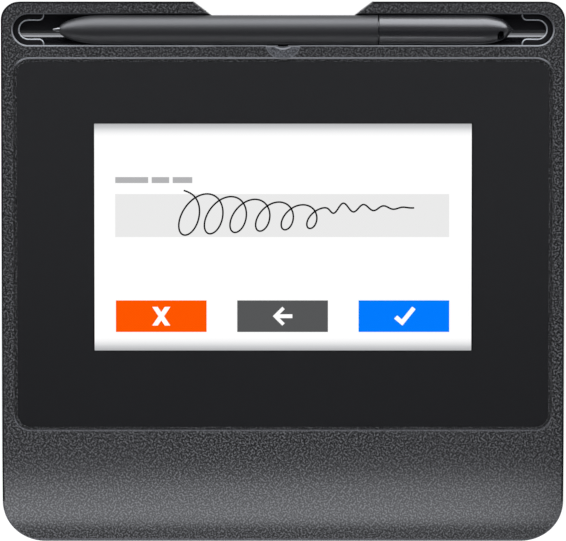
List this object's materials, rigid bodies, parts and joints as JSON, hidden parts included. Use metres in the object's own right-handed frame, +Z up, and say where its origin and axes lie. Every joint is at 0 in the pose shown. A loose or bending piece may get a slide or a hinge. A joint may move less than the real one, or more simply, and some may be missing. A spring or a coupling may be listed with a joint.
{
  "type": "signature pad",
  "caption": "Slim desktop signature pad with a colour screen under flat glass, a sloping palm rest and a stylus lying in a groove behind the screen.",
  "frame": {"origin": "on the table, under the middle of the housing's outline", "axes": "+X to the user's right, +Y from the user towards the pen, +Z up"},
  "size_m": [0.1606, 0.1546, 0.0141],
  "materials": {
    "textured_shell": "fine spark-eroded texture, dark grey",
    "base_shell": "fine texture, black-grey",
    "gloss_black": "glossy black moulding",
    "cover_glass": "etched against glare",
    "black_print": "black print on the glass",
    "tape": "foam tape",
    "bright_steel": "thin pressed sheet",
    "white_film": "white film",
    "clear_acrylic": "clear acrylic",
    "screen": "lit colour screen",
    "green_board": "circuit board",
    "chip_black": "moulded chip packages",
    "amber_film": "polyimide film",
    "screw_steel": "zinc plated",
    "foot_rubber": "moulded rubber",
    "pen_soft_black": "satin black",
    "nib_grey": "hard white-grey acetal",
    "ferrite": "ferrite",
    "copper": "enamelled copper wire",
    "pen_satin_grey": "satin dark grey"
  },
  "bodies": {
    "housing": {"top_housing": "textured_shell", "base_housing": "base_shell", "pen_tray": "gloss_black", "cover_glass": "cover_glass", "glass_mask": "black_print", "glass_tape": "tape", "display_frame": "bright_steel", "reflector_sheet": "white_film", "light_guide": "clear_acrylic", "diffuser_film": "white_film", "lcd_panel": "screen", "sensor_board": "green_board", "shield_plate": "bright_steel", "main_board": "green_board", "board_chips": "chip_black", "flex_sockets": "chip_black", "display_flex": "amber_film", "sensor_flex": "amber_film", "board_screws": "screw_steel", "usb_shell": "bright_steel", "usb_tongue": "chip_black", "lock_plate": "bright_steel", "case_screws": "screw_steel", "rubber_feet": "foot_rubber"},
    "pen": {"pen_barrel": "pen_soft_black", "pen_chassis": "chip_black", "pen_core": "ferrite", "pen_coil": "copper", "pressure_unit": "chip_black", "pen_board": "green_board", "pen_cap": "pen_satin_grey"},
    "nib": {"pen_nib": "nib_grey"}
  },
  "joints": [
    {"name": "pen_lift", "type": "slide", "parent": "housing", "child": "pen", "axis": [0, 0, 1], "range_m": [0, 0.04]},
    {"name": "nib_press", "type": "slide", "parent": "pen", "child": "nib", "axis": [1, 0, 0], "range_m": [0, 0.0003], "stiffness_N_per_m": 2500}
  ]
}
